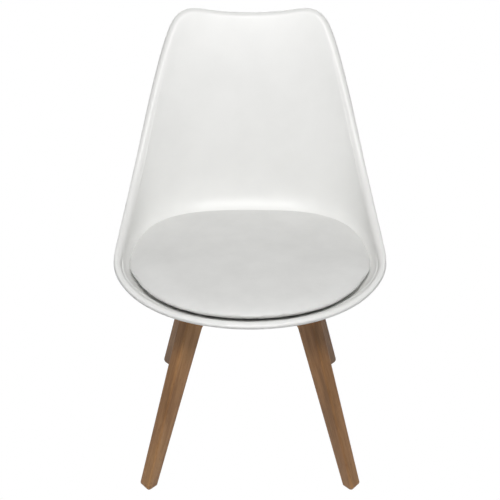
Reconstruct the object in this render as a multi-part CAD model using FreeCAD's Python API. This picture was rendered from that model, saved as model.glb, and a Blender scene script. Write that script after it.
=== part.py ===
import FreeCAD
import Part
import os
from math import cos, hypot, pi, radians, sin

from FreeCAD import Vector

# Moulded shell chair on a beech cross base. Millimetres, +Z up, +Y towards the back.
# Everything is drawn about the middle of the base and moved at the end, so that the
# origin lies on the floor under the middle of the whole chair.

# Bucket and back of the shell, given for the middle of its wall
half_width = 237.9            # widest half width of the bucket
widest_y = -45.0              # widest line at seat height, from the middle of the base
front_reach = 198.0           # from the widest line to the front edge
floor_height = 372.0          # lowest point of the bucket; heights below count from it
floor_y = -45.0               # where that point lies
front_rise = 38.0             # front edge of the seat
crest_rise = 462.0            # height that the two crests of the back are drawn to
back_y = 190.0                # middle line of the back at seat height
back_lean = 0.20              # how far the back leans for each millimetre it rises
back_bow = 0.00012            # and how fast that grows on the way up
seat_rise = 58.0              # height from which the back is reckoned
hollow_low = 235.0            # depth of the back's hollow at seat height
hollow_high = 75.0            # and at the crests
bowl_front = 58.0             # height at which the bowl turns into the wall, in front
bowl_back = 93.0             # and at the back
bowl_power = 2.5              # fullness of the bowl's section
back_fullness = 1.0           # squareness of the back's plan at seat height, gone at the crests
side_blend = 20.0             # degrees to each side over which front and back run together
wall = 4.5

# Edge of the shell: direction in degrees, from straight ahead at -90 to straight back
# at 90, and share of the climb from the front edge to the crests
edge_climb = [(-90, 0), (-60, 0.002), (-30, 0.018), (0, 0.085), (14, 0.141), (27.9, 0.264),
              (38.2, 0.629), (45.7, 0.86), (49.5, 0.945), (59.8, 1), (74, 0.958), (90, 0.958)]

# Rolled lip along that edge
lip_reach = 12.3              # from the middle of the wall to the outside of the lip
lip_drop = 9.0                # how far the lip turns down
lip_wall = 2.6
lip_roll = 11.0               # radius that the inner skin rolls over with
lip_round = 3.5               # rounding of the outer shoulder
lip_start = 12.5              # how far under the edge the roll begins

# Seat cushion, sitting in the bucket on a flat board
underside_rise = 12.0         # its flat underside, over the lowest point of the bucket
cushion_front_rise = 41.0     # its widest line, in front
cushion_rise = 7.5            # how much higher that line is at the back
cushion_middle_rise = 30.0    # what the crown is reckoned from in the middle
cushion_crown = 13.0
crown_power = 2.5
side_tuck = 6.0               # how far the sides are drawn in under the widest line
cover_wall = 1.4
cover_wrap = 0.84             # inner edge of the cover, as a share of the underside
board_wall = 4.0
board_edge = 0.94             # edge of the board, as a share of the underside
soft_gap = 0.8                # between the cushion and the bucket

# Gap from the widest line to the bucket: direction in degrees, and gap
cushion_gap = [(-90, 2.2), (-75, 2.2), (-45, 2), (-20, 16), (2, 2), (25, 2), (70, 2.2), (90, 2.2)]

# Screws that hold the cushion
cushion_screw_offset = 45.0   # ahead, behind, left and right of the middle of the base
cushion_screw_d = 4.2
cushion_screw_head_d = 8.5
cushion_screw_head_h = 2.6
hole_gap = 0.15               # between a fastener and the wall of its hole

# Beech base: two crossed frames, each of two legs and a rail in one diagonal plane
leg_thickness = 26.0
foot_reach = 295.0            # outside of the foot, along the diagonal
foot_depth = 27.0             # foot along the diagonal
knee_depth = 45.0             # leg along the diagonal, under the rail
leg_splay = 0.368             # how far the outside of the leg leans in a millimetre's rise
rail_depth = 40.0
knee_radius = 20.0
inner_knee_radius = 8.0
heel_radius = 8.0
arris_width = 2.5
finger_count = 7              # finger joint at each knee
finger_length = 9.0
lap_gap = 0.1                 # play at each side of the halving joint

# Fastening of the shell to the base
bolt_offset = 64.0            # bolts, in X and in Y from the middle of the base
bolt_d = 6.0
bolt_length = 35.0
bolt_head_d = 10.5
bolt_head_h = 4.0
socket_d = 4.6
socket_h = 2.4
counterbore_d = 15.0
counterbore_depth = 22.0
washer_d = 14.0
washer_h = 1.6
spring_washer_d = 11.0
spring_washer_h = 1.8
spring_washer_slit = 1.6
spacer_d = 26.0
spacer_h = 4.0
boss_d = 26.0
boss_reach = 18.0             # from the lowest point of the bucket down to the bosses' ends
insert_d = 9.0
insert_h = 12.0

# Fineness of the drawn surfaces
front_columns = 9             # columns in each front quarter of a ring
back_columns = 15             # and in each back quarter
bowl_rows = [1.5, 4, 8.5, 16]                 # heights over the lowest point of the bucket
wall_rows = [0.22, 0.45, 0.65, 0.82]          # shares of the way on up to the lip
roll_steps = 3
round_steps = 2
crown_end = 2.72              # where the crown becomes its flat middle
upper_stations = [1, 1.4, 1.75, 2, 2.12, 2.27, 2.46, crown_end]

board_inset = cover_wall + hole_gap
foam_inset = board_inset + board_wall + hole_gap
front_height = floor_height + front_rise
crest_height = floor_height + crest_rise
seat_height = floor_height + seat_rise
cushion_middle_z = floor_height + cushion_middle_rise
boss_bottom = floor_height - boss_reach
rail_top = boss_bottom - spacer_h
rail_bottom = rail_top - rail_depth
bolt_seat = rail_bottom + counterbore_depth
bolt_places = [(x, y) for x in (-bolt_offset, bolt_offset) for y in (-bolt_offset, bolt_offset)]
screw_places = [(-cushion_screw_offset, 0), (cushion_screw_offset, 0),
                (0, -cushion_screw_offset), (0, cushion_screw_offset)]


# Middle surface of the shell

def ease(share):
    # from 0 to 1, level at both ends
    return share * share * (3 - 2 * share)


def profile(poles):
    # smooth run of a value over the direction
    curve = Part.BSplineCurve()
    curve.buildFromPoles([Vector(angle, value, 0) for angle, value in poles], False, 3)
    return curve


def profile_value(curve, angle):
    low, high = curve.FirstParameter, curve.LastParameter
    for _ in range(40):
        middle = (low + high) / 2
        if curve.value(middle).x < angle:
            low = middle
        else:
            high = middle
    return curve.value(low).y


edge_profile = profile(edge_climb)
gap_profile = profile(cushion_gap)


def edge_height(angle):
    climb = profile_value(edge_profile, min(angle, 180 - angle))
    return front_height + (crest_height - front_height) * climb


def between(low, value, high):
    # eased share of the way from low to high
    return ease(min(max((value - low) / (high - low), 0), 1))


def bowl_top(angle):
    # height at which the bowl has become the wall
    turn = max(angle + 90, 0) / 180
    return floor_height + bowl_front + (bowl_back - bowl_front) * ease(turn ** 1.6)


def surface(angle, z):
    # point of the middle surface in the direction of angle, at height z
    rise = z - seat_height
    flare = max(rise, 0) / (crest_height - seat_height)
    hollow = hollow_low * (hollow_high / hollow_low) ** flare
    centre = back_y + back_lean * rise + back_bow * rise * rise - hollow
    ahead = front_reach + centre - widest_y
    depth = ahead + (hollow - ahead) * between(-side_blend, angle, side_blend)
    power = 2 + back_fullness * (1 - flare) * between(-1.5 * side_blend, angle, 1.5 * side_blend)
    side, along = cos(radians(angle)), sin(radians(angle))
    radius = (abs(side) ** power + abs(along) ** power) ** (1 / power)
    top = bowl_top(angle)
    down = min(max((top - z) / (top - floor_height), 0), 1)
    share = (1 - down ** bowl_power) ** (1 / bowl_power)
    y = (centre + depth * along / radius) * share + floor_y * (1 - share)
    return Vector(half_width * side / radius * share, y, z)


def normal(angle, z):
    # outward normal of the middle surface
    turn, step = 0.5, 0.2
    across = surface(angle + turn, z) - surface(angle - turn, z)
    up = surface(angle, z + step) - surface(angle, z - step)
    return across.cross(up).normalize()


def skin_point(angle, z, out):
    # point at a distance out from the middle surface
    return surface(angle, z) + normal(angle, z) * out


def lip_point(angle, out, up):
    # point beside the edge: out from the wall, and up past the edge in the wall's own plane
    turn = 0.5
    ahead = surface(angle + turn, edge_height(angle + turn))
    behind = surface(angle - turn, edge_height(angle - turn))
    if angle >= 90 - turn:
        ahead = Vector(-behind.x, behind.y, behind.z)
    if angle <= turn - 90:
        behind = Vector(-ahead.x, ahead.y, ahead.z)
    z = edge_height(angle)
    outward = normal(angle, z)
    upward = outward.cross(ahead - behind).normalize()
    return surface(angle, z) + outward * out + upward * up


# Surfaces through rings

angles = [-90 + 90 * i / front_columns for i in range(front_columns)]
angles += [90 * i / back_columns for i in range(back_columns + 1)]


def ring(place):
    # closed ring of points, from a function that gives its right half by angle
    right = [place(angle) for angle in angles]
    for point in (right[0], right[-1]):
        point.x = 0
    left = [Vector(-p.x, p.y, p.z) for p in reversed(right[1:-1])]
    return right + left


def ring_steps():
    # how far round the edge each column lies
    points = ring(lambda angle: surface(angle, edge_height(angle)))
    steps = [0]
    for here, there in zip(points, points[1:] + points[:1]):
        steps.append(steps[-1] + here.distanceToPoint(there))
    return [step / steps[-1] for step in steps]


steps_round = ring_steps()


def ring_curve(points):
    curve = Part.BSplineCurve()
    curve.interpolate(Points=points, PeriodicFlag=True, Parameters=steps_round)
    return curve


def strip(low, high):
    # surface between two rings, straight from one to the other
    low, high = ring_curve(low), ring_curve(high)
    sheet = Part.BSplineSurface()
    sheet.buildFromPolesMultsKnots(list(zip(low.getPoles(), high.getPoles())),
                                   low.getMultiplicities(), [2, 2], low.getKnots(), [0, 1],
                                   True, False, low.Degree, 1)
    return sheet.toShape()


def closed_solid(rings):
    # strips from ring to ring, and a flat disc over the first and the last
    faces = [strip(low, high) for low, high in zip(rings, rings[1:])]
    faces += [Part.Face(Part.Wire(ring_curve(points).toShape())) for points in (rings[0], rings[-1])]
    skin = Part.makeShell(faces)
    skin.sewShape()
    body = Part.makeSolid(skin)
    if body.Volume < 0:
        body.reverse()
    return body


# Shell

def lip_section():
    # points out and up from the edge, from the outer skin over the lip to the inner skin
    half = wall / 2
    inside = lip_reach - lip_wall
    under = lip_roll - wall
    turns = [pi / 2 * i / roll_steps for i in range(roll_steps + 1)]
    below = [(lip_roll - half - under * cos(a), under * sin(a) - lip_roll) for a in turns]
    below[-1] = (inside - lip_wall / 2, -wall)
    outer = [(lip_reach - lip_round + lip_round * cos(pi / 2 * i / round_steps),
              lip_round * sin(pi / 2 * i / round_steps) - lip_round)
             for i in range(round_steps + 1)]
    inner = [(lip_roll - half - lip_roll * sin(a), lip_roll * cos(a) - lip_roll) for a in turns]
    if outer[-1][0] - inner[0][0] < 0.1:
        inner = inner[1:]
    return below + [(inside, -wall - lip_wall / 2), (inside, -lip_drop),
                    (lip_reach, -lip_drop)] + outer + inner


def skin_rings(out):
    # rings of one skin of the wall, from the lowest up to where the lip begins
    def point(row, climb):
        def place(angle):
            top = edge_height(angle) - lip_start - floor_height
            return skin_point(angle, floor_height + row * (top / row) ** climb, out)
        return place
    rings = [ring(point(row, 0)) for row in bowl_rows]
    rings[0] = [Vector(p.x, p.y, floor_height + bowl_rows[0] - out) for p in rings[0]]
    return rings + [ring(point(bowl_rows[-1], climb)) for climb in wall_rows]


def shell_wall():
    lip = [ring(lambda angle: lip_point(angle, out, up)) for out, up in lip_section()]
    return closed_solid(skin_rings(wall / 2) + lip + skin_rings(-wall / 2)[::-1])


def rod(x, y, bottom, top, diameter):
    return Part.makeCylinder(diameter / 2, top - bottom, Vector(x, y, bottom))


def wall_span(body, x, y):
    # lower and upper face of the bucket's wall over a point of the floor
    probe = Part.makeLine(Vector(x, y, boss_bottom), Vector(x, y, front_height))
    inside = body.common(probe).BoundBox
    return inside.ZMin, inside.ZMax


def seat_shell(body):
    for x, y in bolt_places:
        under, _ = wall_span(body, x, y)
        body = body.fuse(rod(x, y, boss_bottom, under + wall / 2, boss_d))
    for x, y in bolt_places:
        body = body.cut(rod(x, y, boss_bottom, boss_bottom + insert_h, insert_d))
    for x, y in screw_places:
        body = body.cut(rod(x, y, boss_bottom, front_height, cushion_screw_d + 2 * hole_gap))
    return body


# Cushion

def widest_z(angle):
    climb = cushion_rise * (1 + sin(radians(angle))) / 2
    return floor_height + cushion_front_rise + climb


def side_start(angle):
    # height on the middle surface that the underside's rim is reckoned from
    level = floor_height + underside_rise
    z = level
    for _ in range(4):
        z += level - skin_point(angle, z, -wall / 2 - soft_gap).z
    return z


def under_place(angle, share):
    # on the flat underside, from the middle to its rim
    rim = skin_point(angle, side_start(angle), -wall / 2 - soft_gap)
    return Vector(rim.x * share, floor_y + (rim.y - floor_y) * share, floor_height + underside_rise)


def side_place(angle, share):
    # on the side, from the underside up to the widest line
    low, high = side_start(angle), widest_z(angle)
    gap = profile_value(gap_profile, min(max(angle, -180 - angle), 180 - angle))
    away = soft_gap + (gap - soft_gap) * share + side_tuck * sin(pi * share)
    return skin_point(angle, low + (high - low) * share, -wall / 2 - away)


def crown_place(angle, share):
    # on the crown, from the widest line to the middle
    widest = side_place(angle, 1)
    out = cos(pi / 2 * share)
    z = cushion_middle_z + (widest.z - cushion_middle_z) * out * out
    z += cushion_crown * (1 - out ** crown_power) ** 0.5
    return Vector(widest.x * out, floor_y + (widest.y - floor_y) * out, z)


def cushion_place(angle, station):
    # underside from 0 to 1, side from 1 to 2, crown from 2 to 3
    place = (under_place, side_place, crown_place)[min(int(station), 2)]
    return place(angle, station - min(int(station), 2))


def cushion_ring(station, inset):
    # ring of the cushion's surface, moved in from it along the surface's own normal
    def point(angle):
        turn, step = 0.5, 0.02
        across = cushion_place(angle + turn, station) - cushion_place(angle - turn, station)
        up = cushion_place(angle, station + step) - cushion_place(angle, max(station - step, 0))
        return cushion_place(angle, station) - across.cross(up).normalize() * inset
    return ring(point)


def cushion_rings(stations, inset):
    # rings of the cushion, with those of the underside and of the flat middle made level
    rings = []
    for station in stations:
        points = cushion_ring(station, inset)
        if station < 1:
            points = [Vector(p.x, p.y, floor_height + underside_rise + inset) for p in points]
        if station == crown_end:
            level = sum(p.z for p in points) / len(points)
            points = [Vector(p.x, p.y, level) for p in points]
        rings.append(points)
    return rings


def cushion_cover():
    stations = [cover_wrap] + upper_stations
    outer = cushion_rings(stations, 0)
    inner = cushion_rings(stations, cover_wall)
    return closed_solid(outer[::-1] + inner)


def cushion_board():
    low = cushion_rings([board_edge], board_inset)
    high = cushion_rings([board_edge], board_inset + board_wall)
    body = closed_solid(low + high)
    for x, y in screw_places:
        body = body.cut(rod(x, y, floor_height, front_height, cushion_screw_d + 2 * hole_gap))
    return body


def cushion_foam():
    under = cushion_rings([board_edge], foam_inset)
    over = cushion_rings(upper_stations, cover_wall + hole_gap)
    return closed_solid(under + over)


def cushion_screws(body):
    # pan-head screws up through the floor of the bucket into the board
    screws = []
    radius = cushion_screw_head_d / 2
    for x, y in screw_places:
        beside = [(x - radius, y), (x + radius, y), (x, y - radius), (x, y + radius)]
        seat = min(wall_span(body, *place)[0] for place in beside)
        tip = floor_height + underside_rise + board_inset + board_wall * 0.75
        head = rod(x, y, seat - cushion_screw_head_h, seat, cushion_screw_head_d)
        screws.append(chamfered_below(head).fuse(rod(x, y, seat, tip, cushion_screw_d)))
    return screws


def chamfered_below(head):
    # head of a screw or bolt with its lower rim broken
    low = head.BoundBox.ZMin
    rim = [edge for edge in head.Edges if edge.BoundBox.ZMax < low + 0.01]
    return head.makeChamfer(head.BoundBox.ZLength / 3, rim)


# Beech base

def outer_reach(z):
    return foot_reach - leg_splay * z


def inner_reach(z):
    share = z / rail_bottom
    return outer_reach(z) - foot_depth - (knee_depth - foot_depth) * share


def across_profile(points, thickness):
    # solid from an outline in the frame's plane, X along the diagonal, centred on its thickness
    outline = Part.makePolygon([Vector(x, -thickness / 2, z) for x, z in points + points[:1]])
    return Part.Face(outline).extrude(Vector(0, thickness, 0))


def corner_edges(body, x, z):
    return [edge for edge in body.Edges
            if abs(edge.CenterOfMass.x - x) < 0.01 and abs(edge.CenterOfMass.z - z) < 0.01]


def frame_blank():
    # two legs and their rail as one piece, before the knees are cut
    half = [(foot_reach - foot_depth, 0), (foot_reach, 0), (outer_reach(rail_top), rail_top)]
    inner = (inner_reach(rail_bottom), rail_bottom)
    points = half + [(-x, z) for x, z in reversed(half)]
    points += [(-inner[0], inner[1]), inner]
    body = across_profile(points, leg_thickness)
    for (x, z), radius in (((outer_reach(rail_top), rail_top), knee_radius),
                           (inner, inner_knee_radius), ((foot_reach, 0), heel_radius)):
        for side in (-x, x):
            body = body.makeFillet(radius, corner_edges(body, side, z))
    arrises = [edge for edge in body.Edges
               if abs(abs(edge.CenterOfMass.y) - leg_thickness / 2) < 0.01]
    return body.makeChamfer(arris_width, arrises)


def finger_line():
    # zigzag of the finger joint, along the mitre from the inner knee to the outer one
    inner = Vector(inner_reach(rail_bottom), 0, rail_bottom)
    outer = Vector(outer_reach(rail_top), 0, rail_top)
    along = outer - inner
    aside = Vector(along.z, 0, -along.x).normalize() * (finger_length / 2)
    points = [inner - along]
    for i in range(2 * finger_count):
        tip = inner + along * ((i + 0.5) / (2 * finger_count))
        points.append(tip + aside if i % 2 else tip - aside)
    points.append(outer + along)
    return [(p.x, p.z) for p in points]


def leg_side(side):
    # everything beyond the finger joint, on the side where the leg is
    line = finger_line()
    far = foot_reach * 2
    points = line + [(far, line[-1][1]), (far, -rail_top), (line[0][0], -rail_top)]
    return across_profile([(side * x, z) for x, z in points], leg_thickness * 2)


def counterbored(rail):
    # holes for the two bolts of a rail, from below
    for place in (-bolt_offset, bolt_offset):
        x = hypot(place, place) * (1 if place > 0 else -1)
        rail = rail.cut(rod(x, 0, rail_bottom - 1, bolt_seat, counterbore_d))
        rail = rail.cut(rod(x, 0, bolt_seat - 1, rail_top + 1, bolt_d + 4 * hole_gap))
    return rail


def halved(rail, low, high):
    # notch for the other rail where the two cross
    width = leg_thickness + 2 * lap_gap
    notch = Part.makeBox(width, width * 2, high - low, Vector(-width / 2, -width, low))
    return rail.cut(notch)


def base_pieces():
    blank = frame_blank()
    legs = [blank.common(leg_side(side)) for side in (-1, 1)]
    rail = counterbored(blank.cut(leg_side(-1)).cut(leg_side(1)))
    lap = (rail_bottom + rail_top) / 2
    pieces = {"rail_lower": halved(rail, lap, rail_top + 1),
              "rail_upper": halved(rail, rail_bottom - 1, lap)}
    turns = {"rail_lower": 45, "rail_upper": -45}
    for name, side, turn in (("leg_rear_right", 1, 45), ("leg_front_left", 0, 45),
                             ("leg_front_right", 1, -45), ("leg_rear_left", 0, -45)):
        pieces[name] = legs[side]
        turns[name] = turn
    return {name: turned(piece, turns[name]) for name, piece in pieces.items()}


def turned(body, turn):
    body = body.copy()
    body.rotate(Vector(0, 0, 0), Vector(0, 0, 1), turn)
    return body


# Fasteners

def seat_bolt(x, y):
    top = bolt_seat - washer_h - spring_washer_h
    head = chamfered_below(rod(x, y, top - bolt_head_h, top, bolt_head_d))
    corners = [Vector(socket_d / 2 * cos(pi * i / 3), socket_d / 2 * sin(pi * i / 3), 0)
               for i in range(7)]
    socket = Part.Face(Part.makePolygon(corners)).extrude(Vector(0, 0, socket_h))
    socket.translate(Vector(x, y, top - bolt_head_h))
    return head.cut(socket).fuse(rod(x, y, top, top + bolt_length, bolt_d))


def flat_washer(x, y):
    bottom = bolt_seat - washer_h
    return ring_solid(x, y, bottom, bolt_seat, washer_d, bolt_d + 2 * hole_gap)


def spring_washer(x, y):
    top = bolt_seat - washer_h
    body = ring_solid(x, y, top - spring_washer_h, top, spring_washer_d, bolt_d + 2 * hole_gap)
    slit = Part.makeBox(spring_washer_d, spring_washer_slit, spring_washer_h,
                        Vector(x, y - spring_washer_slit / 2, top - spring_washer_h))
    return body.cut(slit)


def ring_solid(x, y, bottom, top, outside, bore):
    return rod(x, y, bottom, top, outside).cut(rod(x, y, bottom, top, bore))


def spacer_pad(x, y):
    return ring_solid(x, y, rail_top, boss_bottom, spacer_d, bolt_d + 4 * hole_gap)


def boss_insert(x, y):
    bottom, top = boss_bottom, boss_bottom + insert_h
    return ring_solid(x, y, bottom, top, insert_d, bolt_d + hole_gap)


def at_bolts(make):
    return Part.makeCompound([make(x, y) for x, y in bolt_places])


# Chair

def chair():
    bare = shell_wall()
    pieces = {"seat_shell": seat_shell(bare),
              "cushion_cover": cushion_cover(),
              "cushion_foam": cushion_foam(),
              "cushion_board": cushion_board(),
              "cushion_screws": Part.makeCompound(cushion_screws(bare)),
              "boss_inserts": at_bolts(boss_insert),
              "spacer_pads": at_bolts(spacer_pad),
              "seat_bolts": at_bolts(seat_bolt),
              "spring_washers": at_bolts(spring_washer),
              "flat_washers": at_bolts(flat_washer)}
    pieces.update(base_pieces())
    return pieces


os.makedirs("parts", exist_ok=True)
pieces = chair()
reach = pieces["seat_shell"].optimalBoundingBox(True, False)
for name, shape in pieces.items():
    shape.translate(Vector(0, -(reach.YMin + reach.YMax) / 2, 0))
    shape.exportStep("parts/" + name + ".step")
    print(name, len(shape.Solids), shape.isValid(), round(shape.Volume / 1000, 1), "cm3")
print("moved back by", round((reach.YMin + reach.YMax) / 2, 2))
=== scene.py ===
from math import cos, hypot, pi, radians, sin

import bmesh
import bpy
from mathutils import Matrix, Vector, noise


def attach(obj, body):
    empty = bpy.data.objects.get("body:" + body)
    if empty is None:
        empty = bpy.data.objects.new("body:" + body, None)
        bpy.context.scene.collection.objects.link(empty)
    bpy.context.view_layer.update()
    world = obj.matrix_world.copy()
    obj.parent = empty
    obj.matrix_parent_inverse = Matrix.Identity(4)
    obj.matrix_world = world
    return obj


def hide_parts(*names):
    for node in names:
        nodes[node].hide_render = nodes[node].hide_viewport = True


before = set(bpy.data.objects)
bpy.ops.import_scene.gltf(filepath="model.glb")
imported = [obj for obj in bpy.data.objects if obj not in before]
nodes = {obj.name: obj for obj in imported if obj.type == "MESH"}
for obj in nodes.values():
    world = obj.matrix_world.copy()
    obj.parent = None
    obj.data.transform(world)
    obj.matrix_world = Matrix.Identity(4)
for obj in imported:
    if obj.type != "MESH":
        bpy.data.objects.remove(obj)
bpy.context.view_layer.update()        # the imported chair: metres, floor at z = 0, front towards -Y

mm = 0.001
print("frame loaded:", len(nodes), "nodes")


# Small helpers

def deselectAll():
    if bpy.context.object and bpy.context.object.mode != "OBJECT":
        bpy.ops.object.mode_set(mode="OBJECT")
    bpy.ops.object.select_all(action="DESELECT")


def makeActive(piece):
    deselectAll()
    piece.select_set(True)
    bpy.context.view_layer.objects.active = piece


def applyPlace(piece):
    makeActive(piece)                        # place goes into the mesh
    bpy.ops.object.transform_apply(location=True, rotation=True, scale=True)


def applyModifier(piece, kind, **settings):
    makeActive(piece)
    modifier = piece.modifiers.new(kind.title(), kind)
    for name, value in settings.items():
        setattr(modifier, name, value)
    bpy.ops.object.modifier_apply(modifier=modifier.name)


def smoothShade(piece, angle=None):
    makeActive(piece)
    if angle is None:
        bpy.ops.object.shade_smooth()
    else:
        bpy.ops.object.shade_smooth_by_angle(angle=radians(angle))


def finishPiece(piece, name, slot, material, *replaced):
    piece.name = name
    piece.data.name = name
    piece.data.materials.clear()
    piece.data.materials.append(material)
    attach(piece, "root")
    if replaced:
        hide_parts(*replaced)
    return piece


def ease(share):
    share = min(max(share, 0), 1)
    return share * share * (3 - 2 * share)


# Materials

def linear(code):
    # sRGB hex to linear colour
    parts = [int(code[i:i + 2], 16) / 255 for i in (1, 3, 5)]
    return [p / 12.92 if p <= 0.04045 else ((p + 0.055) / 1.055) ** 2.4 for p in parts] + [1]


def newMaterial(name):
    material = bpy.data.materials.new(name)
    material.use_nodes = True
    return material, material.node_tree, material.node_tree.nodes["Principled BSDF"]


def addNode(tree, kind, links=None, sockets=None, **settings):
    # a node with its settings, its socket values and its incoming links
    node = tree.nodes.new("ShaderNode" + kind)
    for name, value in settings.items():
        setattr(node, name, value)
    for name, value in (sockets or {}).items():
        node.inputs[name].default_value = value
    for name, source in (links or {}).items():
        tree.links.new(source, node.inputs[name])
    return node


def setRamp(node, stops):
    ramp = node.color_ramp
    while len(ramp.elements) < len(stops):
        ramp.elements.new(0.5)
    for element, (place, colour) in zip(ramp.elements, stops):
        element.position = place
        element.color = colour if isinstance(colour, list) else (colour, colour, colour, 1)
    return node


def objectPlace(tree, turn=(0, 0, 0), scale=(1, 1, 1)):
    coordinates = addNode(tree, "TexCoord")
    return addNode(tree, "Mapping", links={"Vector": coordinates.outputs["Object"]},
                   sockets={"Rotation": turn, "Scale": scale}).outputs["Vector"]


# Looks: pattern sizes and depths in mm

plasticLook = {"colour": "#F4F4F2", "shade": "#F1F1EF", "cloudSize": 90, "sparkSize": 0.9,
               "sparkDepth": 0.03, "sparkStrength": 0.6, "roughness": 0.42, "ior": 1.49}


def mouldedPolypropylene():
    # injection-moulded polypropylene with a fine spark-eroded skin: milky white, a soft
    # broad highlight and next to no texture from a step away
    look = plasticLook
    material, tree, shader = newMaterial("moulded polypropylene, white")
    place = objectPlace(tree)
    cloud = addNode(tree, "TexNoise", links={"Vector": place},
                    sockets={"Scale": 1000 / look["cloudSize"], "Detail": 3})
    tint = setRamp(addNode(tree, "ValToRGB", links={"Fac": cloud.outputs["Fac"]}),
                   [(0.35, linear(look["shade"])), (0.62, linear(look["colour"]))])
    spark = addNode(tree, "TexNoise", links={"Vector": place},
                    sockets={"Scale": 1000 / look["sparkSize"], "Detail": 2})
    bump = addNode(tree, "Bump", links={"Height": spark.outputs["Fac"]},
                   sockets={"Distance": look["sparkDepth"] * mm,
                            "Strength": look["sparkStrength"]})
    tree.links.new(tint.outputs["Color"], shader.inputs["Base Color"])
    tree.links.new(bump.outputs["Normal"], shader.inputs["Normal"])
    shader.inputs["Roughness"].default_value = look["roughness"]
    shader.inputs["IOR"].default_value = look["ior"]
    return material


leatherLook = {"colour": "#E6E6E4", "shade": "#E0E0DE", "cloudSize": 60, "grainSize": 1.6,
               "grainDepth": 0.09, "creaseSize": 42, "creaseDepth": 0.5, "bumpStrength": 0.5,
               "roughness": 0.5, "ior": 1.5}


def coatedLeatherette():
    # polyurethane-coated cloth stretched over foam: a low sheen, a pebble grain of about
    # 1.6 mm and soft hollows where the foam gives
    look = leatherLook
    material, tree, shader = newMaterial("polyurethane leatherette, white")
    place = objectPlace(tree)
    cloud = addNode(tree, "TexNoise", links={"Vector": place},
                    sockets={"Scale": 1000 / look["cloudSize"], "Detail": 5, "Roughness": 0.6})
    tint = setRamp(addNode(tree, "ValToRGB", links={"Fac": cloud.outputs["Fac"]}),
                   [(0.3, linear(look["shade"])), (0.65, linear(look["colour"]))])
    grain = addNode(tree, "TexVoronoi", links={"Vector": place}, feature="SMOOTH_F1",
                    sockets={"Scale": 1000 / look["grainSize"], "Smoothness": 0.6})
    crease = addNode(tree, "TexNoise", links={"Vector": place},
                     sockets={"Scale": 1000 / look["creaseSize"], "Detail": 3})
    grainBump = addNode(tree, "Bump", links={"Height": grain.outputs["Distance"]},
                        sockets={"Distance": look["grainDepth"] * mm,
                                 "Strength": look["bumpStrength"]})
    bump = addNode(tree, "Bump", links={"Height": crease.outputs["Fac"],
                                        "Normal": grainBump.outputs["Normal"]},
                   sockets={"Distance": look["creaseDepth"] * mm,
                            "Strength": look["bumpStrength"]})
    tree.links.new(tint.outputs["Color"], shader.inputs["Base Color"])
    tree.links.new(bump.outputs["Normal"], shader.inputs["Normal"])
    shader.inputs["Roughness"].default_value = look["roughness"]
    shader.inputs["IOR"].default_value = look["ior"]
    return material


beechLook = {"colours": ["#7A552E", "#966B41", "#AB8052"], "fleck": "#6B4723",
             "ringSize": 9, "ringStretch": 14, "fibreSize": 0.8, "fibreStretch": 30,
             "fibreShare": 0.45, "fibreDepth": 0.08, "patchSize": 55, "patchStretch": 3,
             "patchShare": 0.35, "fleckSize": 2.2, "fleckStretch": 4.5, "fleckShare": 0.55,
             "roughness": 0.46, "ior": 1.45}


def oiledBeech(name, lean, turn):
    # steamed beech under a satin oil: tight straight grain along the piece, short dark
    # ray flecks, warmer and darker patches, pores too fine to catch the light
    look = beechLook
    material, tree, shader = newMaterial("oiled beech, " + name)
    coordinates = addNode(tree, "TexCoord")
    turned = addNode(tree, "Mapping", links={"Vector": coordinates.outputs["Object"]},
                     vector_type="TEXTURE", sockets={"Rotation": (0, 0, turn)})
    along = addNode(tree, "Mapping", links={"Vector": turned.outputs["Vector"]},
                    vector_type="TEXTURE", sockets={"Rotation": (0, lean, 0)}).outputs["Vector"]

    def pattern(size, stretch, detail, rough=0.5, distortion=0.0):
        place = addNode(tree, "Mapping", links={"Vector": along},
                        sockets={"Scale": (1, 1, 1 / stretch)})
        return addNode(tree, "TexNoise", links={"Vector": place.outputs["Vector"]},
                       sockets={"Scale": 1000 / size, "Detail": detail, "Roughness": rough,
                                "Distortion": distortion}).outputs["Fac"]

    rings = pattern(look["ringSize"], look["ringStretch"], 3, 0.55, 0.4)
    fibre = pattern(look["fibreSize"], look["fibreStretch"], 2)
    patch = pattern(look["patchSize"], look["patchStretch"], 2)
    fleck = pattern(look["fleckSize"], look["fleckStretch"], 1)
    mixed = addNode(tree, "Mix", links={"A": rings, "B": fibre},
                    sockets={"Factor": look["fibreShare"]})
    toned = addNode(tree, "Mix", links={"A": mixed.outputs["Result"], "B": patch},
                    sockets={"Factor": look["patchShare"]})
    tint = setRamp(addNode(tree, "ValToRGB", links={"Fac": toned.outputs["Result"]}),
                   [(0.38, linear(look["colours"][0])), (0.5, linear(look["colours"][1])),
                    (0.62, linear(look["colours"][2]))])
    flecks = setRamp(addNode(tree, "ValToRGB", links={"Fac": fleck}),
                     [(0.66, 0.0), (0.76, look["fleckShare"])])
    coloured = addNode(tree, "Mix", data_type="RGBA",
                       links={"Factor": flecks.outputs["Color"]})
    tree.links.new(tint.outputs["Color"], coloured.inputs["A"])
    coloured.inputs["B"].default_value = linear(look["fleck"])
    bump = addNode(tree, "Bump", links={"Height": fibre},
                   sockets={"Distance": look["fibreDepth"] * mm, "Strength": 0.5})
    tree.links.new(coloured.outputs["Result"], shader.inputs["Base Color"])
    tree.links.new(bump.outputs["Normal"], shader.inputs["Normal"])
    shader.inputs["Roughness"].default_value = look["roughness"]
    shader.inputs["IOR"].default_value = look["ior"]
    return material


zincLook = {"colour": "#C9CACB", "roughness": 0.28, "markSize": 1.2, "markStretch": 6}
brassLook = {"colour": "#C8A45A", "roughness": 0.3, "markSize": 1.0, "markStretch": 6}


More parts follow.
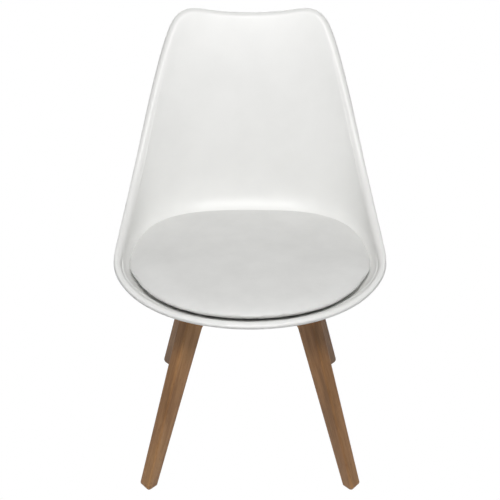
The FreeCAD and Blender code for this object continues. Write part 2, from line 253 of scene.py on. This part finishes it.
def metal(name, look):
    # bright zinc or brass off a machine: turned or rolled marks that spread the highlight
    material, tree, shader = newMaterial(name)
    place = objectPlace(tree, scale=(1, 1, look["markStretch"]))
    marks = addNode(tree, "TexNoise", links={"Vector": place},
                    sockets={"Scale": 1000 / look["markSize"], "Detail": 2})
    rough = addNode(tree, "MapRange", links={"Value": marks.outputs["Fac"]},
                    sockets={"To Min": look["roughness"] * 0.8,
                             "To Max": look["roughness"] * 1.25})
    tree.links.new(rough.outputs["Result"], shader.inputs["Roughness"])
    shader.inputs["Base Color"].default_value = linear(look["colour"])
    shader.inputs["Metallic"].default_value = 1
    return material


rubberLook = {"colour": "#2A2A2B", "shade": "#1A1A1B", "grainSize": 1.5, "roughness": 0.75}


def blackRubber():
    # moulded rubber: near black, dull, faintly dusty on top of the grain
    look = rubberLook
    material, tree, shader = newMaterial("moulded rubber, black")
    grain = addNode(tree, "TexNoise", links={"Vector": objectPlace(tree)},
                    sockets={"Scale": 1000 / look["grainSize"], "Detail": 3})
    tint = setRamp(addNode(tree, "ValToRGB", links={"Fac": grain.outputs["Fac"]}),
                   [(0.3, linear(look["shade"])), (0.7, linear(look["colour"]))])
    tree.links.new(tint.outputs["Color"], shader.inputs["Base Color"])
    shader.inputs["Roughness"].default_value = look["roughness"]
    return material


plyLook = {"colour": "#DCC59D", "shade": "#C9AD82", "figureSize": 14, "figureStretch": 0.15,
           "roughness": 0.6}


def birchPly():
    # rotary-cut birch plywood: pale, wide soft figure
    look = plyLook
    material, tree, shader = newMaterial("birch plywood")
    place = objectPlace(tree, scale=(1, look["figureStretch"], 1))
    figure = addNode(tree, "TexNoise", links={"Vector": place},
                     sockets={"Scale": 1000 / look["figureSize"], "Detail": 3,
                              "Distortion": 0.6})
    tint = setRamp(addNode(tree, "ValToRGB", links={"Fac": figure.outputs["Fac"]}),
                   [(0.35, linear(look["shade"])), (0.65, linear(look["colour"]))])
    tree.links.new(tint.outputs["Color"], shader.inputs["Base Color"])
    shader.inputs["Roughness"].default_value = look["roughness"]
    return material


plastic = mouldedPolypropylene()
leather = coatedLeatherette()
zinc = metal("zinc-plated steel", zincLook)
brass = metal("turned brass", brassLook)
rubber = blackRubber()
ply = birchPly()


# Shell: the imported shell's form, drawn smooth and with a softer start to its lip. Sizes in mm
# from the middle of the base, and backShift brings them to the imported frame.

shellSizes = {"backShift": 25.03, "halfWidth": 237.9, "widestY": -45, "frontReach": 198,
              "floorHeight": 372, "floorY": -45, "frontHeight": 410, "crestHeight": 834,
              "backY": 190, "backLean": 0.20, "backBow": 0.00012, "seatHeight": 430,
              "hollowLow": 235, "hollowHigh": 75, "bowlFront": 430, "bowlBack": 465,
              "bowlPower": 2.5, "bowlLag": 1.6, "backFullness": 1, "sideBlend": 20, "wall": 4.5,
              "lipReach": 12.3, "lipDrop": 9, "lipWall": 2.6, "lipRoll": 11, "lipDepth": 13,
              "lipRound": 3.5, "lipStart": 15, "lipBreak": (0.4, 0.5), "frontColumns": 14,
              "backColumns": 24}
edgeClimb = [(-90, 0), (-60, 0.002), (-30, 0.018), (0, 0.085), (14, 0.141), (27.9, 0.264),
             (38.2, 0.629), (45.7, 0.86), (49.5, 0.945), (59.8, 1), (74, 0.958), (90, 0.958)]

turnStep, heightStep = 0.5, 0.2        # degrees and mm over which slopes are taken


def splinePoint(poles, at):
    # point of the clamped cubic through these poles, at from 0 to 1
    spans = len(poles) - 3
    knots = [0] * 3 + list(range(spans + 1)) + [spans] * 3
    at = min(at * spans, spans - 1e-9)
    k = int(at) + 3
    near = [list(poles[k - 3 + i]) for i in range(4)]
    for level in range(1, 4):
        for i in range(3, level - 1, -1):
            low, high = knots[k - 3 + i], knots[k + 1 + i - level]
            share = (at - low) / (high - low)
            near[i] = [a + (b - a) * share for a, b in zip(near[i - 1], near[i])]
    return near[3]


def profileValue(poles, turn):
    low, high = 0, 1
    for _ in range(30):
        middle = (low + high) / 2
        if splinePoint(poles, middle)[0] < turn:
            low = middle
        else:
            high = middle
    return splinePoint(poles, low)[1]


def edgeHeight(turn):
    size = shellSizes
    climb = profileValue(edgeClimb, min(turn, 180 - turn))
    return size["frontHeight"] + (size["crestHeight"] - size["frontHeight"]) * climb


def between(low, value, high):
    return ease((value - low) / (high - low))


def wallPoint(turn, z):
    # middle of the wall, in the direction turn, at height z
    size = shellSizes
    rise = z - size["seatHeight"]
    flare = max(rise, 0) / (size["crestHeight"] - size["seatHeight"])
    hollow = size["hollowLow"] * (size["hollowHigh"] / size["hollowLow"]) ** flare
    centre = size["backY"] + size["backLean"] * rise + size["backBow"] * rise * rise - hollow
    ahead = size["frontReach"] + centre - size["widestY"]
    blend = size["sideBlend"]
    depth = ahead + (hollow - ahead) * between(-blend, turn, blend)
    power = 2 + size["backFullness"] * (1 - flare) * between(-1.5 * blend, turn, 1.5 * blend)
    side, along = cos(radians(turn)), sin(radians(turn))
    radius = (abs(side) ** power + abs(along) ** power) ** (1 / power)
    back = ease((max(turn + 90, 0) / 180) ** size["bowlLag"])
    top = size["bowlFront"] + (size["bowlBack"] - size["bowlFront"]) * back
    down = min(max((top - z) / (top - size["floorHeight"]), 0), 1)
    share = (1 - down ** size["bowlPower"]) ** (1 / size["bowlPower"])
    y = (centre + depth * along / radius) * share + size["floorY"] * (1 - share)
    return Vector((size["halfWidth"] * side / radius * share, y, z))


def wallNormal(turn, z):
    across = wallPoint(turn + turnStep, z) - wallPoint(turn - turnStep, z)
    up = wallPoint(turn, z + heightStep) - wallPoint(turn, z - heightStep)
    return across.cross(up).normalized()


def skinPoint(turn, z, out):
    return wallPoint(turn, z) + wallNormal(turn, z) * out


def lipPoint(turn, out, up):
    # beside the edge: out from the wall, and up past it in the wall's own plane
    ahead = wallPoint(turn + turnStep, edgeHeight(turn + turnStep))
    behind = wallPoint(turn - turnStep, edgeHeight(turn - turnStep))
    if turn >= 90 - turnStep:
        ahead = Vector((-behind.x, behind.y, behind.z))
    if turn <= turnStep - 90:
        behind = Vector((-ahead.x, ahead.y, ahead.z))
    z = edgeHeight(turn)
    outward = wallNormal(turn, z)
    upward = outward.cross(ahead - behind).normalized()
    return wallPoint(turn, z) + outward * out + upward * up


def framePoint(place, turn):
    # a place on the right half, or its mirror for turns past straight back
    folded = turn if turn <= 90 else 180 - turn
    point = place(folded)
    point = Vector((point.x, point.y - shellSizes["backShift"], point.z)) * mm
    if abs(abs(folded) - 90) < 1e-6:
        point.x = 0
    if turn > 90:
        point.x = -point.x
    return point


def ringTurns():
    front, back = shellSizes["frontColumns"], shellSizes["backColumns"]
    right = [-90 + 90 * i / front for i in range(front)] + [90 * i / back for i in range(back)]
    left = [180 - turn for turn in reversed(right[1:])]
    return right + [90] + left


def startRing(place):
    # a circle whose vertices remember the direction they lie in
    turns = ringTurns()
    deselectAll()
    bpy.ops.mesh.primitive_circle_add(vertices=len(turns), radius=1, fill_type="NOTHING")
    piece = bpy.context.object
    bpy.ops.object.mode_set(mode="EDIT")
    bpy.ops.mesh.select_all(action="SELECT")
    mesh = bmesh.from_edit_mesh(piece.data)
    layer = mesh.verts.layers.float.new("turn")
    mesh.verts.ensure_lookup_table()
    for vertex, turn in zip(mesh.verts, turns):
        vertex[layer] = turn
    placeRing(piece, place)
    return piece


def placeRing(piece, place):
    mesh = bmesh.from_edit_mesh(piece.data)
    layer = mesh.verts.layers.float["turn"]
    for vertex in mesh.verts:
        if vertex.select:
            vertex.co = framePoint(place, vertex[layer])
    bmesh.update_edit_mesh(piece.data)


def nextRing(piece, place):
    bpy.ops.mesh.extrude_region_move()
    placeRing(piece, place)


closingShares = (0.7, 0.6, 0.5)


def closeRing(piece):
    # the selected open ring is drawn in to its middle in three steps
    mesh = bmesh.from_edit_mesh(piece.data)
    ends = [vertex.co.copy() for vertex in mesh.verts if vertex.select]
    middle = sum(ends, Vector()) / len(ends)
    for share in closingShares:
        bpy.ops.mesh.extrude_region_move()
        bpy.ops.transform.resize(value=(share, share, 1), center_override=middle)
    bpy.ops.mesh.merge(type="CENTER")


def selectOpenRing(piece):
    bpy.ops.mesh.select_all(action="DESELECT")
    mesh = bmesh.from_edit_mesh(piece.data)
    for edge in mesh.edges:
        if edge.is_boundary:
            edge.select_set(True)
    bmesh.update_edit_mesh(piece.data)


def ringPiece(places):
    # closed mesh extruded from ring to ring
    piece = startRing(places[0])
    for place in places[1:]:
        nextRing(piece, place)
    closeRing(piece)
    selectOpenRing(piece)
    closeRing(piece)
    bpy.ops.mesh.select_all(action="SELECT")
    bpy.ops.mesh.normals_make_consistent(inside=False)
    bpy.ops.object.mode_set(mode="OBJECT")
    return piece


def lipSection():
    # out and up from the edge, from the outer skin over the lip to the inner skin
    size = shellSizes
    wall, reach, drop = size["wall"], size["lipReach"], size["lipDrop"]
    half, inside = wall / 2, reach - size["lipWall"]
    rounding, roll, depth = size["lipRound"], size["lipRoll"], size["lipDepth"]
    under = roll - wall
    across, up = size["lipBreak"]
    rollTurns = [pi / 2 * i / 5 for i in range(6)]
    roundTurns = [pi * i / 6 for i in range(4)]
    below = [(roll - half - under * cos(a), under * sin(a) - roll) for a in rollTurns[:-1]]
    turned = [(inside - 1, -wall), (inside, -wall - 1), (inside, up - drop),
              (inside + across, -drop), (reach - across, -drop), (reach, up - drop)]
    outer = [(reach - rounding + rounding * cos(a), rounding * sin(a) - rounding)
             for a in roundTurns]
    inner = [(roll - half - roll * sin(a), depth * (cos(a) - 1)) for a in rollTurns[1:]]
    return below + turned + outer + inner


def lipFoot(turn):
    # height on the wall where the lip begins, lipStart away from the edge and square to it
    ahead = wallPoint(turn + 1, edgeHeight(turn + 1))
    behind = wallPoint(turn - 1, edgeHeight(turn - 1))
    slope = (ahead.z - behind.z) / hypot(ahead.x - behind.x, ahead.y - behind.y)
    return edgeHeight(turn) - shellSizes["lipStart"] * hypot(1, slope)


def buildShell():
    size = shellSizes
    bowlRows = [1, 2.5, 4.8, 8, 12.5, 19]      # over the lowest point of the bucket
    wallRows = [0.1, 0.2, 0.3, 0.4, 0.5, 0.6, 0.7, 0.8, 0.88, 0.94]

    def skinPlace(row, climb, out):
        def place(turn):
            top = lipFoot(turn) - size["floorHeight"]
            return skinPoint(turn, size["floorHeight"] + row * (top / row) ** climb, out)
        return place

    def flatPlace(out):
        def place(turn):
            point = skinPlace(bowlRows[0], 0, out)(turn)
            point.z = size["floorHeight"] + bowlRows[0] - out
            return point
        return place

    def skinPlaces(out):
        return ([flatPlace(out)] + [skinPlace(row, 0, out) for row in bowlRows[1:]]
                + [skinPlace(bowlRows[-1], climb, out) for climb in wallRows])

    places = skinPlaces(size["wall"] / 2)
    places += [lambda turn, out=out, up=up: lipPoint(turn, out, up) for out, up in lipSection()]
    places += skinPlaces(-size["wall"] / 2)[::-1]
    return ringPiece(places)


bossSizes = {"offset": 64, "bottom": 354, "top": 374, "radius": 13, "bore": 4.5, "boreDepth": 12,
             "round": 0.8, "shadeAngle": 35}


def buildBoss(x, y):
    # boss under the bucket that takes a threaded insert
    size = bossSizes
    height = size["top"] - size["bottom"]
    deselectAll()
    bpy.ops.mesh.primitive_cylinder_add(vertices=64, radius=size["radius"] * mm,
                                        depth=height * mm, location=(0, 0, height / 2 * mm))
    piece = bpy.context.object
    bpy.ops.object.transform_apply(location=True, rotation=False, scale=False)
    bpy.ops.object.mode_set(mode="EDIT")
    bpy.ops.mesh.select_all(action="DESELECT")
    bpy.ops.mesh.select_mode(type="FACE")
    mesh = bmesh.from_edit_mesh(piece.data)
    for face in mesh.faces:
        face.select_set(face.normal.z < -0.9)
    bpy.ops.mesh.inset(thickness=(size["radius"] - size["bore"]) * mm)
    bpy.ops.mesh.extrude_region_move(
        TRANSFORM_OT_translate={"value": (0, 0, size["boreDepth"] * mm)})
    bpy.ops.mesh.select_all(action="DESELECT")
    bpy.ops.mesh.select_mode(type="EDGE")
    mesh = bmesh.from_edit_mesh(piece.data)
    for edge in mesh.edges:
        ends = [vertex.co for vertex in edge.verts]
        if all(end.z < 1e-5 for end in ends) and abs(ends[0].xy.length - ends[1].xy.length) < 1e-5:
            edge.select_set(True)
    bpy.ops.mesh.bevel(offset=size["round"] * mm, segments=3, affect="EDGES")
    bpy.ops.object.mode_set(mode="OBJECT")
    piece.location = (x * mm, (y - shellSizes["backShift"]) * mm, size["bottom"] * mm)
    applyPlace(piece)
    smoothShade(piece, size["shadeAngle"])
    return piece


def joinPieces(first, others):
    makeActive(first)
    for other in others:
        other.select_set(True)
    bpy.ops.object.join()
    return first


shell = buildShell()
applyModifier(shell, "SUBSURF", levels=2, render_levels=2)
smoothShade(shell)
offset = bossSizes["offset"]
bosses = [buildBoss(x, y) for x in (-offset, offset) for y in (-offset, offset)]
joinPieces(shell, bosses)
finishPiece(shell, "mouldedShell", "shell_plastic", plastic, "seat_shell")
print("shell modelled:", len(shell.data.polygons), "faces")


# Cushion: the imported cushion's form with a fuller crown, blown up a little as cloth over foam

cushionSizes = {"undersideRise": 12, "frontRise": 41, "rise": 7.5, "middleRise": 33, "crown": 20,
                "crownPower": 2.5, "sideTuck": 3, "softGap": 0.8, "proud": 0.6,
                "stationStep": 0.02, "voxel": 4, "pressure": 4, "frames": 20, "cap": 1.2,
                "smoothing": 3, "hollowSize": 55, "hollowDepth": 0.5, "fill": 0.75}
cushionGap = [(-90, 2.2), (-75, 2.2), (-45, 2), (-20, 16), (2, 2), (25, 2), (70, 2.2), (90, 2.2)]


def widestZ(turn):
    size = cushionSizes
    climb = size["rise"] * (1 + sin(radians(turn))) / 2
    return shellSizes["floorHeight"] + size["frontRise"] + climb


def sideStart(turn):
    # height on the middle of the wall that the underside's rim is reckoned from
    level = shellSizes["floorHeight"] + cushionSizes["undersideRise"]
    z = level
    for _ in range(4):
        z += level - skinPoint(turn, z, -shellSizes["wall"] / 2 - cushionSizes["softGap"]).z
    return z


def underPlace(turn, share):
    rim = skinPoint(turn, sideStart(turn), -shellSizes["wall"] / 2 - cushionSizes["softGap"])
    middle = shellSizes["floorY"]
    level = shellSizes["floorHeight"] + cushionSizes["undersideRise"]
    return Vector((rim.x * share, middle + (rim.y - middle) * share, level))


def sidePlace(turn, share):
    size = cushionSizes
    low, high = sideStart(turn), widestZ(turn)
    gap = profileValue(cushionGap, min(max(turn, -180 - turn), 180 - turn))
    away = size["softGap"] + (gap - size["softGap"]) * share + size["sideTuck"] * sin(pi * share)
    return skinPoint(turn, low + (high - low) * share, -shellSizes["wall"] / 2 - away)


def crownPlace(turn, share):
    size = cushionSizes
    widest = sidePlace(turn, 1)
    out = cos(pi / 2 * share)
    middleZ = shellSizes["floorHeight"] + size["middleRise"]
    z = middleZ + (widest.z - middleZ) * out * out
    z += size["crown"] * (1 - out ** size["crownPower"]) ** 0.5
    middle = shellSizes["floorY"]
    return Vector((widest.x * out, middle + (widest.y - middle) * out, z))


def cushionPlace(turn, station):
    # underside from 0 to 1, side from 1 to 2, crown from 2 to 3
    part = min(int(station), 2)
    return (underPlace, sidePlace, crownPlace)[part](turn, station - part)


def proudPlace(station):
    # ring of the cushion, a little outside its drawn surface
    step = cushionSizes["stationStep"]

    def place(turn):
        across = cushionPlace(turn + turnStep, station) - cushionPlace(turn - turnStep, station)
        up = cushionPlace(turn, station + step) - cushionPlace(turn, max(station - step, 0))
        outward = across.cross(up).normalized()
        return cushionPlace(turn, station) + outward * cushionSizes["proud"]
    return place


def buildCushion():
    stations = [0.3, 0.6, 0.85, 0.97, 1.03, 1.2, 1.4, 1.6, 1.8, 1.92, 2, 2.04, 2.09, 2.16, 2.26,
                2.4, 2.6, 2.8]
    return ringPiece([proudPlace(station) for station in stations])


def blowUp(piece):
    # cloth under a little pressure, with how far a point may move capped
    size = cushionSizes
    applyModifier(piece, "REMESH", mode="VOXEL", voxel_size=size["voxel"] * mm)
    start = [vertex.co.copy() for vertex in piece.data.vertices]
    makeActive(piece)
    cloth = piece.modifiers.new("Cloth", "CLOTH")
    cloth.settings.use_pressure = True
    cloth.settings.uniform_pressure_force = size["pressure"]
    cloth.settings.effector_weights.gravity = 0
    cloth.point_cache.frame_start, cloth.point_cache.frame_end = 1, size["frames"]
    for step in range(1, size["frames"] + 1):
        bpy.context.scene.frame_set(step)
    bpy.ops.object.modifier_apply(modifier=cloth.name)
    bpy.context.scene.frame_set(1)
    cap = size["cap"] * mm
    for vertex, before in zip(piece.data.vertices, start):
        move = vertex.co - before
        if move.length > cap:
            move *= cap / move.length
        vertex.co = before + move


def softenTop(piece):
    # shallow hollows where the foam gives under the cover
    size = cushionSizes
    for vertex in piece.data.vertices:
        dip = noise.noise(vertex.co * (1000 / size["hollowSize"]))
        vertex.co += vertex.normal * dip * size["hollowDepth"] * mm


cushion = buildCushion()
blowUp(cushion)
applyModifier(cushion, "SMOOTH", factor=0.5, iterations=cushionSizes["smoothing"])
softenTop(cushion)
applyModifier(cushion, "SUBSURF", levels=1, render_levels=1)
smoothShade(cushion)
finishPiece(cushion, "seatCushion", "cover_leather", leather, "cushion_cover", "cushion_foam")
print("cushion modelled:", len(cushion.data.polygons), "faces")


# Beech base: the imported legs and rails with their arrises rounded

# arris and mergeGap in mm, chamferFolds in radians, the rest in degrees
baseSizes = {"arris": 1.1, "mergeGap": 0.02, "chamferFolds": (0.5, 1.1), "flatWithin": 1,
             "shadeAngle": 32, "legLean": -21.7, "railLean": 90}
baseTurns = {"leg_front_left": ("frontLeftLeg", 225), "leg_front_right": ("frontRightLeg", -45),
             "leg_rear_left": ("rearLeftLeg", 135), "leg_rear_right": ("rearRightLeg", 45),
             "rail_lower": ("lowerRail", 45), "rail_upper": ("upperRail", -45)}


def roundedCopy(node):
    # the node's loose triangles merged and cleaned, then its chamfers rounded
    size = baseSizes
    makeActive(nodes[node])
    bpy.ops.object.duplicate()
    piece = bpy.context.object
    piece.parent = None
    for key in [key for key in piece.keys() if key.startswith("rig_")]:
        del piece[key]
    bpy.ops.object.mode_set(mode="EDIT")
    bpy.ops.mesh.select_all(action="SELECT")
    bpy.ops.mesh.remove_doubles(threshold=size["mergeGap"] * mm)
    bpy.ops.mesh.dissolve_limited(angle_limit=radians(size["flatWithin"]))
    bpy.ops.mesh.select_all(action="DESELECT")
    bpy.ops.mesh.select_mode(type="EDGE")
    mesh = bmesh.from_edit_mesh(piece.data)
    low, high = size["chamferFolds"]
    for edge in mesh.edges:
        if len(edge.link_faces) == 2 and low < edge.calc_face_angle() < high:
            edge.select_set(True)
    bpy.ops.mesh.bevel(offset=size["arris"] * mm, segments=3, affect="EDGES")
    bpy.ops.object.mode_set(mode="OBJECT")
    smoothShade(piece, size["shadeAngle"])
    return piece


for node, (name, turn) in baseTurns.items():
    lean = baseSizes["railLean" if node.startswith("rail") else "legLean"]
    wood = oiledBeech(name, radians(lean), radians(turn))
    finishPiece(roundedCopy(node), name, "beech", wood, node)
print("base modelled")


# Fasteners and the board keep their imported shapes

keptNodes = {"seat_bolts": zinc, "spring_washers": zinc, "flat_washers": zinc,
             "cushion_screws": zinc, "boss_inserts": brass, "spacer_pads": rubber,
             "cushion_board": ply}
for node, material in keptNodes.items():
    nodes[node].data.materials.clear()
    nodes[node].data.materials.append(material)
print("fasteners finished")


# Studio

# Places in metres, powers in watts. The photograph's light is one source over the camera.
studioSizes = {"cameraPlace": (0, -1.14653, 0.9972), "cameraPitch": 27.4, "focal": 653.2,
               "frameWidth": 500, "floorReach": 8, "roomLight": 0.1}
softboxes = {"keySoftbox": {"place": (0.03, -1.2, 1.8), "aim": (0, 0, 0.45),
                            "width": 0.4, "height": 0.3, "power": 21.5},
             "frontSoftbox": {"place": (0, -2.6, 1.2), "aim": (0, 0, 0.45),
                              "width": 2.2, "height": 1.2, "power": 3},
             "topSoftbox": {"place": (0, -0.2, 2.8), "aim": (0, 0, 0.4),
                            "width": 2.4, "height": 2.4, "power": 4},
             "rearSoftbox": {"place": (0, 2.6, 1.3), "aim": (0, 0, 0.45),
                             "width": 2.4, "height": 1.6, "power": 26}}


def cameraRays(tree):
    # 1 where the camera, a gloss or a glass ray looks
    path = addNode(tree, "LightPath")
    either = addNode(tree, "Math", links={0: path.outputs["Is Camera Ray"],
                                          1: path.outputs["Is Glossy Ray"]}, operation="MAXIMUM")
    return addNode(tree, "Math", links={0: either.outputs[0],
                                        1: path.outputs["Is Transmission Ray"]},
                   operation="MAXIMUM").outputs[0]


def buildStudio():
    size = studioSizes
    deselectAll()
    bpy.ops.mesh.primitive_plane_add(size=2 * size["floorReach"], location=(0, 0, 0))
    floor = bpy.context.object
    floor.name = "studioFloor"
    material, tree, shader = newMaterial("matt white paper")
    shader.inputs["Base Color"].default_value = linear("#F2F2F2")
    shader.inputs["Roughness"].default_value = 0.9
    glow = addNode(tree, "Emission", sockets={"Color": (1, 1, 1, 1), "Strength": 1})
    mix = addNode(tree, "MixShader", links={0: cameraRays(tree), 1: shader.outputs[0],
                                            2: glow.outputs[0]})
    tree.links.new(mix.outputs[0], tree.nodes["Material Output"].inputs["Surface"])
    floor.data.materials.append(material)

    world = bpy.data.worlds.new("studioWorld")
    bpy.context.scene.world = world
    world.use_nodes = True
    tree = world.node_tree
    room = tree.nodes["Background"]
    room.inputs["Color"].default_value = (1, 1, 1, 1)
    room.inputs["Strength"].default_value = size["roomLight"]
    white = addNode(tree, "Background", sockets={"Color": (1, 1, 1, 1), "Strength": 1})
    mix = addNode(tree, "MixShader", links={0: cameraRays(tree), 1: room.outputs[0],
                                            2: white.outputs[0]})
    tree.links.new(mix.outputs[0], tree.nodes["World Output"].inputs["Surface"])


def addSoftbox(name, box):
    deselectAll()
    bpy.ops.object.light_add(type="AREA", location=box["place"])
    light = bpy.context.object
    light.name = name
    way = Vector(box["aim"]) - Vector(box["place"])
    light.rotation_euler = way.to_track_quat("-Z", "Y").to_euler()
    light.data.shape = "RECTANGLE"
    light.data.size, light.data.size_y = box["width"], box["height"]
    light.data.energy = box["power"]


buildStudio()
for name, box in softboxes.items():
    addSoftbox(name, box)

bpy.ops.object.camera_add(location=studioSizes["cameraPlace"],
                          rotation=(radians(90 - studioSizes["cameraPitch"]), 0, 0))
camera = bpy.context.object
camera.data.sensor_width = 36
camera.data.lens = camera.data.sensor_width * studioSizes["focal"] / studioSizes["frameWidth"]
camera.data.clip_end = 50
bpy.context.scene.camera = camera
bpy.context.scene.view_settings.view_transform = "Standard"
print("studio and camera set")
